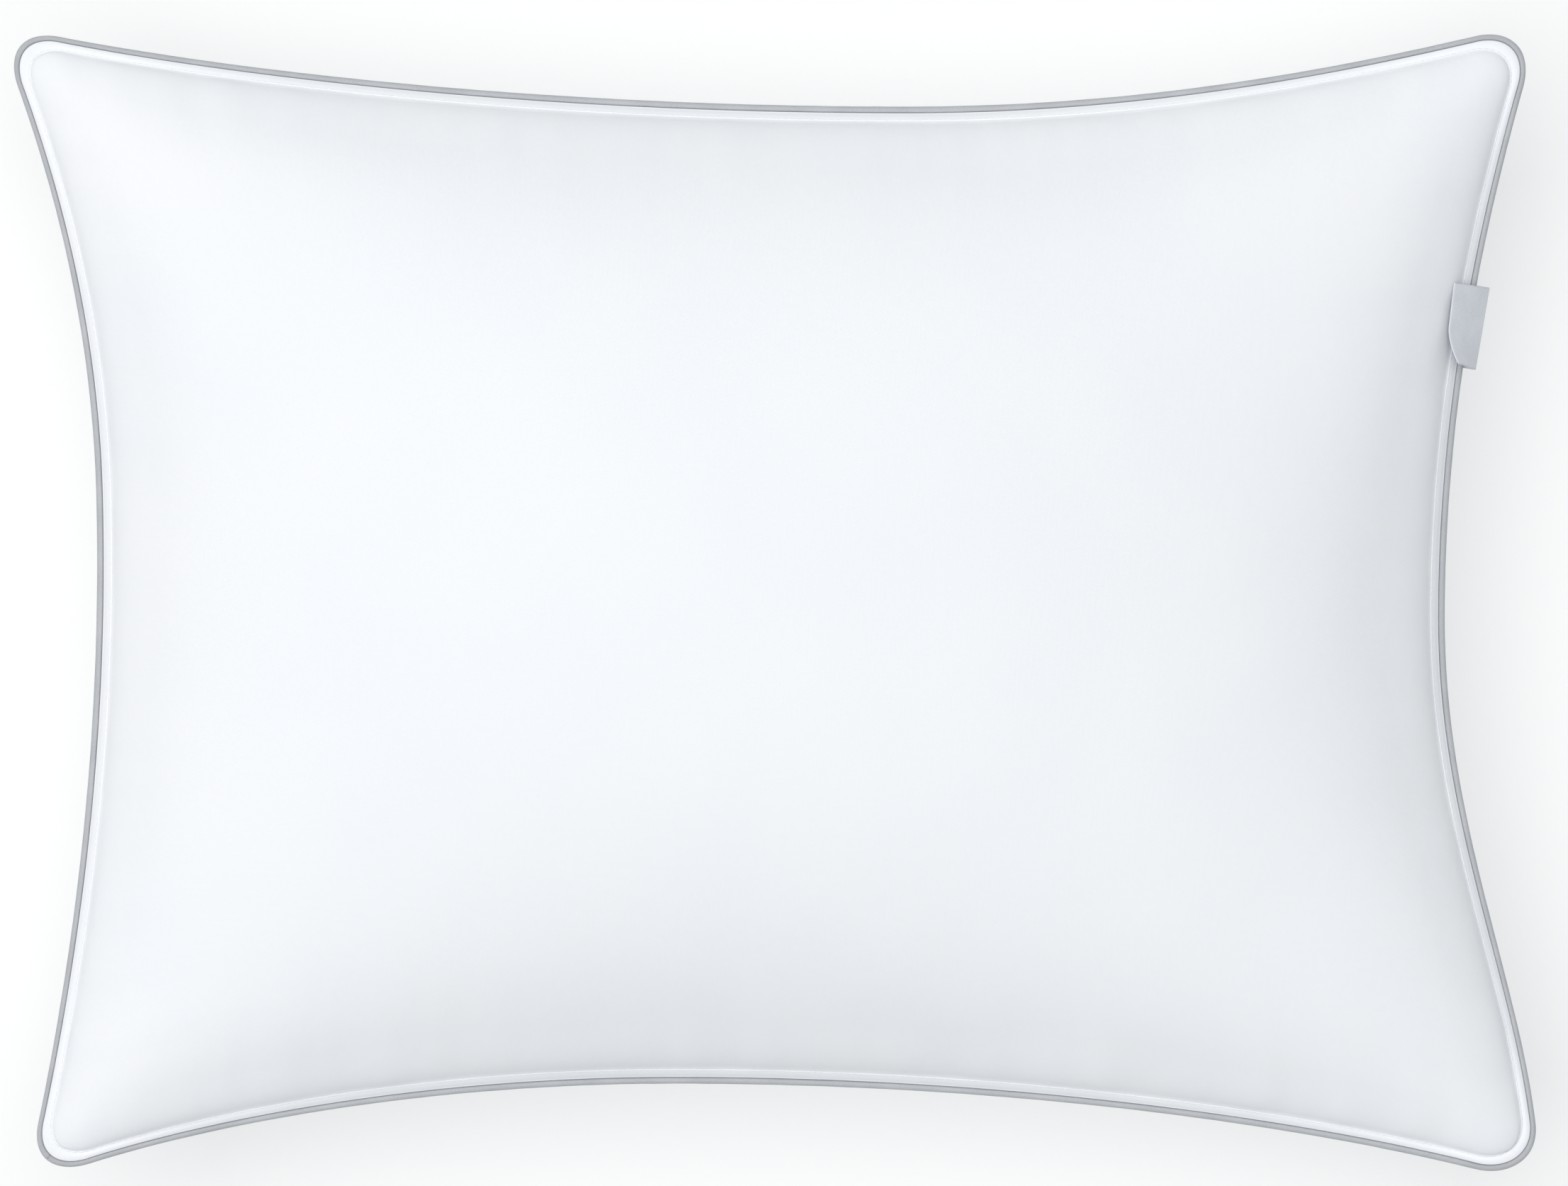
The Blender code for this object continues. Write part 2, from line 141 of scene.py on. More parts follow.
LABEL_BOW = 0.0007         # of the flap, between its crease and its folded end
LABEL_ROWS = 29            # of points along the seam
RIBBON = 0.00012           # thickness of one ply of the finished label
FLANGE_ROWS = 7            # rows of points in flange_path before its fold
FLANGE_RIPPLE = 0.00008
GATHER_RISE = 0.0025       # distance over which the gathers rise beside the flange
PIPING_SWELL = 0.035       # unevenness of the piping's thickness, as a share of it
PIPING_DRIFT = 0.00010     # how far the piping wanders up and down
STITCH_ARCH = 0.00004      # how far the middle of a stitch stands up
STITCH_SWAY = 0.00006      # how far the stitches wander sideways
FILL_INSET = 0.0035        # of the filling's edge from the flange
FILL_CLEARANCE = 0.0024    # between the filling and the simulated dome, on average
CLUMPS = 0.0012            # unevenness of that
FILL_FLOOR = 0.0016        # the lowest that the filling lies over the floor
COURSE_TOLERANCE = 0.0015  # between the seam's outermost lines here and in the CAD

SWELL_START = 0.965        # height of the dome that the simulation starts from, as a share of the CAD's
SWELL_FRAMES = 22
PRESSURE = 3.2
SLACK = 0.004              # extra length of the cover's fabric
SMOOTHING = 12             # passes over the simulated moves, as the filling evens out the smallest buckles
MOST_MOVE = 0.009          # a simulated point stays this near the CAD's dome


# ---- the seam's course, at any fineness ----

Course = namedtuple("Course", "places outwards long_cells short_cells")


def side_steps(core, steps, corner_steps):
    """Along one side: the place on the straight that each point is squared from, and its outward angle."""
    corner_angles = np.radians(np.linspace(0, 45, corner_steps + 1)[1:])
    even = np.linspace(-1, 1, steps + 1)
    straight = core * (EDGE_CROWDING * np.sin(even * math.pi / 2) + (1 - EDGE_CROWDING) * even)
    along = np.concatenate([np.full(corner_steps, -core), straight, np.full(corner_steps, core)])
    angles = np.concatenate([-corner_angles[::-1], np.zeros(steps + 1), corner_angles])
    return along, angles


def seam_course(long_steps, short_steps, corner_steps):
    """Every point of the seam, anticlockwise from the lower left corner."""
    places, outwards = [], []
    quarter = np.array([[0, 1], [-1, 0]])
    for turn in range(4):
        core, across, steps = [(CORE_X, CORE_Y, long_steps), (CORE_Y, CORE_X, short_steps)][turn % 2]
        along, angles = side_steps(core, steps, corner_steps)
        place = np.stack([along, np.full(len(along), -across)], axis=1)
        outward = np.stack([np.sin(angles), -np.cos(angles)], axis=1)
        spin = np.linalg.matrix_power(quarter, turn)
        places.append((place @ spin)[:-1])
        outwards.append((outward @ spin)[:-1])
    return Course(
        np.concatenate(places),
        np.concatenate(outwards),
        long_steps + 2 * corner_steps,
        short_steps + 2 * corner_steps,
    )


def flat_ring(course, d):
    return course.places + course.outwards * (CORNER_RADIUS - d)


def pull(side, t):
    """How far a side is pulled in at t, from -1 to 1 along it."""
    depth, deepest, before, after = side
    reach = np.where(t < deepest, 1 + deepest, 1 - deepest)
    share = np.clip(1 - ((t - deepest) / reach) ** 2, 0, 1)
    return depth * share ** np.where(t < deepest, before, after)


def hold(distance, half):
    """1 in the seam, falling smoothly to 0 in the pillow's middle."""
    share = np.clip(np.abs(distance) / (half - BAND), 0, 1)
    return share * share * (3 - 2 * share)


def bent(flat):
    """Flat points moved to where the filling pulls them."""
    x, y = flat[..., 0], flat[..., 1]
    u, v = x / HALF_LENGTH, y / HALF_WIDTH
    pull_x = np.where(x > 0, -pull(PULL_RIGHT, v), pull(PULL_LEFT, -v))
    pull_y = np.where(y > 0, -pull(PULL_TOP, -u), pull(PULL_BOTTOM, u))
    lean = v * (LEAN_LEFT * (1 - u) + LEAN_RIGHT * (1 + u)) / 2
    return np.stack([x + pull_x * hold(x, HALF_LENGTH) + lean, y + pull_y * hold(y, HALF_WIDTH)], axis=-1)


COARSE = seam_course(60, 42, 4)
FINE = seam_course(60 * FINER, 42 * FINER, 4 * FINER)
OUTLINE = bent(flat_ring(FINE, 0.0))
MIDDLE = (OUTLINE.min(axis=0) + OUTLINE.max(axis=0)) / 2


def seam_level(flat):
    """Height of the seam's middle over the floor."""
    u, v = flat[..., 0] / HALF_LENGTH, flat[..., 1] / HALF_WIDTH
    return SEAM_HEIGHT - CORNER_DROP * np.abs(u * v) ** 3


def raised(flat, height):
    """Flat points bent and centred, at this height over the seam's own level."""
    place = bent(flat) - MIDDLE
    return np.concatenate([place, (seam_level(flat) + height)[..., None]], axis=-1)


def corner_spread(course):
    """How much wider the bending makes the seam's edge at each point. It spreads the corners."""
    outer, inner = bent(flat_ring(course, 0.0)), bent(flat_ring(course, FOLD_D))
    return np.linalg.norm(inner - outer, axis=1) / FOLD_D


def even_depth(d, spread):
    """The depth that leaves the piping and the fold as wide at the corners as along the sides. The
    topstitching, and all that is inside it, stays where it is."""
    slope = (STITCH_D - FOLD_D / spread) / (STITCH_D - FOLD_D)
    return np.where(d < FOLD_D, d / spread, np.where(d < STITCH_D, STITCH_D - (STITCH_D - d) * slope, d))


def ring(course, d, z):
    """The points at (d, z) all round the seam. d and z may vary along it."""
    depths = even_depth(np.broadcast_to(d, len(course.places)), corner_spread(course))
    flat = course.places + course.outwards * (CORNER_RADIUS - depths)[:, None]
    return raised(flat, np.broadcast_to(z, len(course.places)))


def running_length(points):
    """Length along a closed row of points, up to each of them and then back at the first."""
    steps = np.linalg.norm(np.roll(points, -1, axis=0) - points, axis=1)
    return np.concatenate([[0.0], np.cumsum(steps)])


SEAM_LENGTHS = running_length(ring(FINE, STITCH_D, 0.0))
SEAM_LENGTH = SEAM_LENGTHS[-1]
FINE_SPREAD = corner_spread(FINE)


def seam_at(length, d, z):
    """Points at (d, z), this far along the line of the topstitching. d and z may vary along it."""
    count = len(FINE.places)
    step = np.interp(length % SEAM_LENGTH, SEAM_LENGTHS, np.arange(count + 1))
    low = np.floor(step).astype(int)
    share = (step - low)[:, None]
    low, high = low % count, (low + 1) % count
    place = FINE.places[low] * (1 - share) + FINE.places[high] * share
    outward = FINE.outwards[low] * (1 - share) + FINE.outwards[high] * share
    outward /= np.linalg.norm(outward, axis=1, keepdims=True)
    spread = FINE_SPREAD[low] * (1 - share[:, 0]) + FINE_SPREAD[high] * share[:, 0]
    reach = CORNER_RADIUS - even_depth(np.broadcast_to(d, len(place)), spread)
    return raised(place + outward * reach[:, None], np.broadcast_to(z, len(place)))


def waviness(lengths, wavelength, seed):
    """Smooth irregular values of about -1 to 1 along the closed seam."""
    turn = 2 * math.pi * lengths / SEAM_LENGTH
    radius = SEAM_LENGTH / (2 * math.pi * wavelength)
    return np.array([
        noise.noise((radius * math.cos(t), radius * math.sin(t), seed)) for t in turn
    ]) * 1.6


# ---- grids over the panels ----

def flat_grid(course, edge_d):
    """Flat points inside the course at edge_d, in rows and columns, and each one's share of the dome."""
    long_cells, short_cells, count = course.long_cells, course.short_cells, len(course.places)
    bottom = np.arange(0, long_cells + 1)
    right = np.arange(long_cells, long_cells + short_cells + 1)
    top = np.arange(long_cells + short_cells, 2 * long_cells + short_cells + 1)[::-1]
    left = np.arange(2 * long_cells + short_cells, count + 1)[::-1] % count
    edge = flat_ring(course, edge_d)
    a = edge[bottom][:, 0] / edge[bottom[-1], 0]
    b = edge[right][:, 1] / edge[right[-1], 1]
    s, t = ((1 + a) / 2)[:, None, None], ((1 + b) / 2)[None, :, None]
    ruled_y = (1 - t) * edge[bottom][:, None] + t * edge[top][:, None]
    ruled_x = (1 - s) * edge[left][None] + s * edge[right][None]
    corners = (
        (1 - s) * (1 - t) * edge[bottom[0]]
        + s * (1 - t) * edge[bottom[-1]]
        + (1 - s) * t * edge[top[0]]
        + s * t * edge[top[-1]]
    )
    share = np.clip((1 - a[:, None] ** 2) * (1 - b[None, :] ** 2), 0, 1) ** FULLNESS
    return ruled_y + ruled_x - corners, share


def grid_normals(surface):
    across = np.gradient(surface, axis=0)
    up = np.gradient(surface, axis=1)
    normals = np.cross(across, up)
    return normals / np.linalg.norm(normals, axis=-1, keepdims=True)


def dome(course, side, height=1.0):
    """The cover's surface above (side 1) or below (side -1) the seam, inside the flange."""
    flat, share = flat_grid(course, DOME_D)
    if side > 0:
        return raised(flat, UPPER_PLY_Z + (LOFT - SEAM_HEIGHT - UPPER_PLY_Z) * share * height)
    surface = raised(flat, LOWER_PLY_Z - (SEAM_HEIGHT + FLATTENING) * share * height)
    surface[..., 2] = np.maximum(surface[..., 2], PLY)
    return surface


def grid_faces(rows, columns, start=0):
    return [
        (start + i * columns + j, start + (i + 1) * columns + j, start + (i + 1) * columns + j + 1,
         start + i * columns + j + 1)
        for i in range(rows - 1)
        for j in range(columns - 1)
    ]


def grid_edge(course):
    """Index within a grid of each point on its edge, in the order of the seam's course."""
    columns = course.short_cells + 1
    bottom = [i * columns for i in range(course.long_cells)]
    right = [course.long_cells * columns + j for j in range(course.short_cells)]
    top = [i * columns + course.short_cells for i in range(course.long_cells, 0, -1)]
    left = list(range(course.short_cells, 0, -1))
    return np.array(bottom + right + top + left)


def strip_faces(here, there):
    """Faces between two closed rows of points."""
    count = len(here)
    return [(here[k], here[(k + 1) % count], there[(k + 1) % count], there[k]) for k in range(count)]


def finer(values, axis):
    """A grid's values along one axis, with smooth ones set between them."""
    values = np.moveaxis(values, axis, 0)
    padded = np.concatenate([2 * values[:1] - values[1:2], values, 2 * values[-1:] - values[-2:-1]])
    before, here, after, beyond = padded[:-3], padded[1:-2], padded[2:-1], padded[3:]
    steps = []
    for k in range(FINER):
        t = k / FINER
        third = 3 * (here - after) + beyond - before
        second = 2 * before - 5 * here + 4 * after - beyond
        steps.append(here + 0.5 * t * (after - before + t * (second + t * third)))
    fine = np.stack(steps, axis=1).reshape(-1, *values.shape[1:])
    return np.moveaxis(np.concatenate([fine, values[-1:]]), 0, axis)


# ---- objects ----

def mesh_object(name, points, faces):
    mesh = bpy.data.meshes.new(name)
    mesh.from_pydata([tuple(point) for point in np.asarray(points, float)], [], [tuple(f) for f in faces])
    shape = bmesh.new()
    shape.from_mesh(mesh)
    bmesh.ops.recalc_face_normals(shape, faces=shape.faces)
    shape.to_mesh(mesh)
    shape.free()
    mesh.shade_smooth()
    thing = bpy.data.objects.new(name, mesh)
    bpy.context.scene.collection.objects.link(thing)
    return thing


def add_cloth_places(thing, places):
    """Keeps where each point is on its flat piece of fabric, in metres, which the weave follows."""
    attribute = thing.data.attributes.new("cloth_place", "FLOAT_VECTOR", "POINT")
    places = np.concatenate([places, np.zeros((len(places), 1))], axis=1)
    attribute.data.foreach_set("vector", places.astype(np.float32).ravel())


def thicken(thing, thickness):
    solid = thing.modifiers.new("Fabric", "SOLIDIFY")
    solid.thickness = thickness
    solid.offset = 0.0
    solid.use_even_offset = False


def thread_object(name, strands, radius, closed, resolution=1):
    """Round threads through rows of points, as one curve."""
    curve = bpy.data.curves.new(name, "CURVE")
    curve.dimensions = "3D"
    curve.bevel_depth = radius
    curve.bevel_resolution = resolution
    curve.use_fill_caps = not closed
    for strand in strands:
        course = curve.splines.new("POLY")
        course.points.add(len(strand) - 1)
        course.points.foreach_set("co", np.concatenate([strand, np.ones((len(strand), 1))], axis=1).ravel())
        course.use_cyclic_u = closed
    thing = bpy.data.objects.new(name, curve)
    bpy.context.scene.collection.objects.link(thing)
    return thing


def finish_piece(thing, material, slot, *nodes, body="pillow"):
    """Gives a piece its material and its body, and hides the CAD nodes that it stands for. Its slot is not
    used.
    """
    thing.data.materials.append(material)
    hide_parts(*nodes)
    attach(thing, body)
    return thing


# ---- materials ----

class Nodes:
    """A short way to build a material's nodes."""

    def __init__(self, name, roughness, sheen, sheen_roughness=0.4, sheen_tint=(1.0, 1.0, 1.0)):
        self.material = bpy.data.materials.new(name)
        self.material.use_nodes = True
        self.tree = self.material.node_tree
        self.shader = self.tree.nodes["Principled BSDF"]
        self.shader.inputs["Roughness"].default_value = roughness
        self.shader.inputs["Specular IOR Level"].default_value = 0.25
        self.shader.inputs["Sheen Weight"].default_value = sheen
        self.shader.inputs["Sheen Roughness"].default_value = sheen_roughness
        self.shader.inputs["Sheen Tint"].default_value = (*sheen_tint, 1.0)

    def make(self, kind, **settings):
        node = self.tree.nodes.new(kind)
        for key, value in settings.items():
            setattr(node, key, value)
        return node

    def math(self, operation, first, second=None):
        node = self.make("ShaderNodeMath", operation=operation)
        for socket, value in zip(node.inputs, (first, second)):
            if value is None:
                continue
            if isinstance(value, (int, float)):
                socket.default_value = value
            else:
                self.tree.links.new(value, socket)
        return node.outputs["Value"]

    def places(self, attribute):
        """Where a point is: on its flat piece of fabric, or in the object's own space."""
        if attribute:
            return self.make("ShaderNodeAttribute", attribute_name=attribute).outputs["Vector"]
        return self.make("ShaderNodeTexCoord").outputs["Object"]

    def turned(self, places, degrees, scale=(1.0, 1.0, 1.0)):
        node = self.make("ShaderNodeMapping")
        node.inputs["Rotation"].default_value = (0.0, 0.0, math.radians(degrees))
        node.inputs["Scale"].default_value = scale
        self.tree.links.new(places, node.inputs["Vector"])
        return node.outputs["Vector"]

    def noise(self, places, scale, detail=2.0, roughness=0.5):
        node = self.make("ShaderNodeTexNoise")
        node.inputs["Scale"].default_value = scale
        node.inputs["Detail"].default_value = detail
        node.inputs["Roughness"].default_value = roughness
        self.tree.links.new(places, node.inputs["Vector"])
        return node.outputs["Fac"]

    def threads(self, places, pitch):
        """Sines across the two sets of threads of a weave."""
        split = self.make("ShaderNodeSeparateXYZ")
        self.tree.links.new(places, split.inputs["Vector"])
        turns = math.pi / pitch
        return [self.math("SINE", self.math("MULTIPLY", split.outputs[axis], turns)) for axis in ("X", "Y")]

    def plain_weave(self, places, pitch):
        """Height of a plain weave: each thread is round, and goes over and under the ones that it crosses."""
        warp, weft = self.threads(places, pitch)
        ribs = self.math("MULTIPLY", self.math("ABSOLUTE", warp), self.math("ABSOLUTE", weft))
        crossing = self.math("MULTIPLY", warp, weft)
        return self.math("ADD", ribs, self.math("MULTIPLY", crossing, 0.45))

    def colour(self, factor, low, high, start=0.3, end=0.7):
        ramp = self.make("ShaderNodeValToRGB")
        ramp.color_ramp.elements[0].position = start
        ramp.color_ramp.elements[1].position = end
        ramp.color_ramp.elements[0].color = (*low, 1.0)
        ramp.color_ramp.elements[1].color = (*high, 1.0)
        self.tree.links.new(factor, ramp.inputs["Fac"])
        self.tree.links.new(ramp.outputs["Color"], self.shader.inputs["Base Color"])

    def rough(self, factor, low, high):
        spread = self.make("ShaderNodeMapRange")
        spread.inputs["To Min"].default_value = low
        spread.inputs["To Max"].default_value = high
        self.tree.links.new(factor, spread.inputs["Value"])
        self.tree.links.new(spread.outputs["Result"], self.shader.inputs["Roughness"])

    def bump(self, height, distance, strength=1.0, under=None):
        node = self.make("ShaderNodeBump")
        node.inputs["Distance"].default_value = distance
        node.inputs["Strength"].default_value = strength
        self.tree.links.new(height, node.inputs["Height"])
        if under:
            self.tree.links.new(under, node.inputs["Normal"])
        self.tree.links.new(node.outputs["Normal"], self.shader.inputs["Normal"])
        return node.outputs["Normal"]


def cover_material():
    """White cotton percale: a fine plain weave with uneven threads, a soft sheen and a trace of blue."""
    nodes = Nodes("white_percale", roughness=0.85, sheen=0.12)
    places = nodes.places("cloth_place")
    slubs = nodes.noise(nodes.turned(places, 0.0, (260.0, 2600.0, 1.0)), 1.0)
    streaks = nodes.noise(nodes.turned(places, 0.0, (2600.0, 210.0, 1.0)), 1.0)
    uneven = nodes.math("MULTIPLY", nodes.math("ADD", slubs, streaks), 0.5)
    broad = nodes.noise(places, 9.0)
    tone = nodes.math("ADD", nodes.math("MULTIPLY", broad, 0.6), nodes.math("MULTIPLY", uneven, 0.4))
    nodes.colour(tone, (0.874, 0.884, 0.914), (0.912, 0.916, 0.938))
    nodes.rough(uneven, 0.78, 0.92)
    weave = nodes.plain_weave(places, 0.00034)
    rumple = nodes.bump(nodes.noise(places, 160.0, 3.0), 0.0004, 0.25)
    nodes.bump(nodes.math("ADD", weave, nodes.math("MULTIPLY", uneven, 0.8)), 0.00006, 0.5, rumple)
    return nodes.material


def piping_material():
    """Grey cotton, cut on the bias: its weave runs slantwise round the cord."""
    nodes = Nodes("grey_bias_cotton", roughness=0.8, sheen=0.0)
    nodes.shader.inputs["Specular IOR Level"].default_value = 0.15
    places = nodes.turned(nodes.places("cloth_place"), 45.0)
    fine = nodes.noise(places, 1500.0, 2.0)
    broad = nodes.noise(places, 60.0, 2.0)
    weave = nodes.plain_weave(places, 0.00036)
    tone = nodes.math("ADD", nodes.math("MULTIPLY", fine, 0.35), nodes.math("MULTIPLY", broad, 0.3))
    tone = nodes.math("ADD", tone, nodes.math("MULTIPLY", weave, 0.2))
    nodes.colour(tone, (0.43, 0.44, 0.46), (0.60, 0.61, 0.63))
    nodes.rough(fine, 0.72, 0.9)
    nodes.bump(weave, 0.00008, 0.7)
    return nodes.material


def label_material():
    """Grey-lilac satin ribbon: long floats along the ribbon, a woven edge's fine ribs, and a soft shine."""
    nodes = Nodes("label_satin", roughness=0.42, sheen=0.1)
    nodes.shader.inputs["Specular IOR Level"].default_value = 0.4
    nodes.shader.inputs["Anisotropic"].default_value = 0.4
    places = nodes.places("cloth_place")
    floats = nodes.noise(nodes.turned(places, 0.0, (5200.0, 420.0, 1.0)), 1.0, 1.0)
    broad = nodes.noise(places, 70.0)
    warp, weft = nodes.threads(places, 0.00022)
    tone = nodes.math("ADD", nodes.math("MULTIPLY", floats, 0.5), nodes.math("MULTIPLY", broad, 0.5))
    nodes.colour(tone, (0.610, 0.630, 0.685), (0.750, 0.765, 0.810))
    nodes.rough(floats, 0.34, 0.52)
    long_ribs = nodes.math("ABSOLUTE", warp)
    cross_ribs = nodes.math("MULTIPLY", nodes.math("ABSOLUTE", weft), 0.3)
    ribs = nodes.math("ADD", long_ribs, cross_ribs)
    nodes.bump(nodes.math("ADD", ribs, nodes.math("MULTIPLY", floats, 0.6)), 0.00004, 0.6)
    return nodes.material


def thread_material(name, low, high, scale):
    """Spun thread: slanting plies with loose fibres between them."""
    nodes = Nodes(name, roughness=0.6, sheen=0.25)
    places = nodes.places("")
    fibres = nodes.noise(places, scale, 3.0, 0.6)
    nodes.colour(fibres, low, high)
    nodes.rough(fibres, 0.5, 0.75)
    nodes.bump(nodes.noise(places, scale * 1.7, 2.0), 0.00005, 0.6)
    return nodes.material


def fibre_material():
    """Siliconised polyester fibre: soft clumps with fine crossing fibres on them."""
    nodes = Nodes("polyester_fibre", roughness=0.95, sheen=0.35, sheen_roughness=0.6)
    places = nodes.places("")
    clumps = nodes.noise(places, 55.0, 4.0, 0.6)
    fibres = nodes.noise(nodes.turned(places, 30.0, (900.0, 90.0, 300.0)), 1.0, 4.0, 0.65)
    tone = nodes.math("ADD", nodes.math("MULTIPLY", clumps, 0.6), nodes.math("MULTIPLY", fibres, 0.4))
    nodes.colour(tone, (0.80, 0.82, 0.84), (0.95, 0.96, 0.97))
    under = nodes.bump(clumps, 0.003, 0.7)
    nodes.bump(fibres, 0.0006, 0.8, under)
    return nodes.material


# ---- the cover ----

def swollen(domes):
    """How far a cloth simulation fills out the two coarse domes. Their edges are held by the seam, and no
    point moves further than MOST_MOVE from the CAD's dome. The floor takes no part in it: cover_surface
    keeps the lower panel above it."""
    starts = [dome(COARSE, side, SWELL_START) for side in (1, -1)]
    rows, columns = starts[0].shape[:2]
    size = rows * columns
    faces = grid_faces(rows, columns) + [face[::-1] for face in grid_faces(rows, columns, size)]
    points = np.concatenate([start.reshape(-1, 3) for start in starts])
    mesh = bpy.data.meshes.new("cover_cloth")
    mesh.from_pydata([tuple(point) for point in points], [], faces)
    cloth_object = bpy.data.objects.new("cover_cloth", mesh)
    bpy.context.scene.collection.objects.link(cloth_object)
    held = cloth_object.vertex_groups.new(name="held")
    edge = grid_edge(COARSE)
    held.add([int(k) for k in np.concatenate([edge, edge + size])], 1.0, "REPLACE")
    cloth = cloth_object.modifiers.new("Cloth", "CLOTH")
    settings = cloth.settings
    settings.quality = 7
    settings.mass = 0.10
    settings.tension_stiffness = 40.0
    settings.compression_stiffness = 40.0
    settings.shear_stiffness = 8.0
    settings.bending_stiffness = 4.0
    settings.tension_damping = 10.0
    settings.compression_damping = 10.0
    settings.shear_damping = 10.0
    settings.bending_damping = 1.0
    settings.air_damping = 4.0
    settings.vertex_group_mass = "held"
    settings.pin_stiffness = 1.0
    settings.use_pressure = True
    settings.uniform_pressure_force = PRESSURE
    settings.shrink_min = -SLACK
    settings.effector_weights.gravity = 0.0
    cloth.collision_settings.use_collision = False
    cloth.collision_settings.use_self_collision = False
    scene = bpy.context.scene
    cloth.point_cache.frame_start, cloth.point_cache.frame_end = 1, SWELL_FRAMES
    for number in range(1, SWELL_FRAMES + 1):
        scene.frame_set(number)
    result = cloth_object.evaluated_get(bpy.context.evaluated_depsgraph_get()).to_mesh()
    moved = np.empty(len(result.vertices) * 3)
    result.vertices.foreach_get("co", moved)
    moved = moved.reshape(2, rows, columns, 3)
    bpy.data.objects.remove(cloth_object)
    scene.frame_set(1)
    steps = moved - np.array(domes)
    for _ in range(SMOOTHING):
        lengthways = steps[:, :-2, 1:-1] + steps[:, 2:, 1:-1]
        steps[:, 1:-1, 1:-1] = (lengthways + steps[:, 1:-1, :-2] + steps[:, 1:-1, 2:]) / 4
    far = np.linalg.norm(steps, axis=-1, keepdims=True)
    return steps * MOST_MOVE * np.tanh(far / MOST_MOVE) / np.maximum(far, 1e-9)


def lumpiness(surface, seed):
    """The filling's unevenness: broad soft lumps with smaller ones on them."""
    places = surface.reshape(-1, 3)
    broad = [noise.noise((x * 11 + seed, y * 11, z * 11)) for x, y, z in places]
    small = [noise.noise((x * 27, y * 27 + seed, z * 27)) for x, y, z in places]
    return (np.array(broad) + 0.35 * np.array(small)).reshape(surface.shape[:2])


def gathers(course, seed):
    """Small radial gathers beside the flange. They are strongest where the stitching draws the fabric in,
    and fade towards the middle of the panel."""
    flat, _ = flat_grid(course, DOME_D)
    edge = flat_ring(course, DOME_D)
    lengths = running_length(ring(course, DOME_D, 0.0))[:-1]
    strength = waviness(lengths, 0.013, seed) + 0.7 * waviness(lengths, 0.031, seed + 5)
    reach = GATHER_SPREAD * (1 + 0.5 * waviness(lengths, 0.045, seed + 9))
    rows, columns = flat.shape[:2]
    total = np.zeros((rows, columns))
    border = grid_edge(course)
    edge_values = np.zeros((2, rows * columns))
    edge_values[:, border] = strength, reach
    strength_grid, reach_grid = edge_values.reshape(2, rows, columns)
    sides = (
        (strength_grid[:, :1], reach_grid[:, :1], flat[..., 1] - edge[:, 1].min()),
        (strength_grid[:, -1:], reach_grid[:, -1:], edge[:, 1].max() - flat[..., 1]),
        (strength_grid[:1], reach_grid[:1], flat[..., 0] - edge[:, 0].min()),
        (strength_grid[-1:], reach_grid[-1:], edge[:, 0].max() - flat[..., 0]),
    )
    for height, fade, inset in sides:
        inset = np.clip(inset, 0, None)
        rise = 1 - np.exp(-inset / GATHER_RISE)
        total += height * rise * np.exp(-inset / fade)
    return total


def cover_surface(side, steps):
    """The middle of one panel's fabric inside its flange: the simulated dome with its lumps and gathers."""
    surface = dome(FINE, side) + finer(finer(steps, 0), 1)
    normals = grid_normals(surface) * side
    _, share = flat_grid(FINE, DOME_D)
    loose = np.clip(share * 2.5, 0, 1)[..., None]
    relief = LUMPS * lumpiness(surface, side * 3.7)[..., None] * loose
    relief = relief + GATHER * gathers(FINE, side * 2.3)[..., None]
    surface = surface + normals * relief - normals * PLY / 2
    if side < 0:
        surface[..., 2] = np.maximum(surface[..., 2], PLY / 2)
    return surface


def fabric_lengths(surface):
    """Where each point of a grid is on its flat piece of fabric, along the two sets of threads."""
    along_x = np.linalg.norm(np.diff(surface, axis=0), axis=-1)
    along_y = np.linalg.norm(np.diff(surface, axis=1), axis=-1)
    u = np.concatenate([np.zeros((1, surface.shape[1])), np.cumsum(along_x, axis=0)])
    v = np.concatenate([np.zeros((surface.shape[0], 1)), np.cumsum(along_y, axis=1)], axis=1)
    u -= u[len(u) // 2]
    v -= v[:, v.shape[1] // 2][:, None]
    return np.stack([u, v], axis=-1)


def flange_lift(d):
    """How far the filling lifts the outer ply at each point of the seam. The flange slopes down from its
    stitching to its fold, and less so at the corners, where the pillow is thin."""
    flat = flat_ring(FINE, 0.0)
    corner = np.abs(flat[:, 0] / HALF_LENGTH * flat[:, 1] / HALF_WIDTH) ** 3
    share = min(max((d - FOLD_D) / (STITCH_D - FOLD_D), 0.0), 1.0)
    return FLANGE_TILT * share * (1 - FLANGE_CORNER * np.clip(corner * 1.3, 0, 1))


def flange_path(side, ply_z, allowance_z):
    """(d, z) from the panel's edge over the flange, round its fold and back to the raw edge."""
    middle_z, radius = (ply_z + allowance_z) / 2, abs(ply_z - allowance_z) / 2
    nose_d = FOLD_D + PLY / 2 + radius - (TUCK if side > 0 else 0.0)
    width = STITCH_D - nose_d
    path = [(STITCH_D + 0.0003, ply_z - side * STITCH_SINK / 2), (STITCH_D, ply_z - side * STITCH_SINK)]
    for share in (0.12, 0.3, 0.5, 0.7, 0.88):
        puff = FLANGE_CROWN * math.sin(math.pi * share ** 1.5) - STITCH_SINK * (1 - share) ** 4
        path.append((STITCH_D - width * share, ply_z + side * puff))
    for angle in (90, 45, 0, -45, -90):
        turn = math.radians(angle)
        path.append((nose_d - radius * math.cos(turn), middle_z + side * radius * math.sin(turn)))
    path += [((nose_d + RAW_D) / 2, allowance_z), (RAW_D, allowance_z)]
    return path


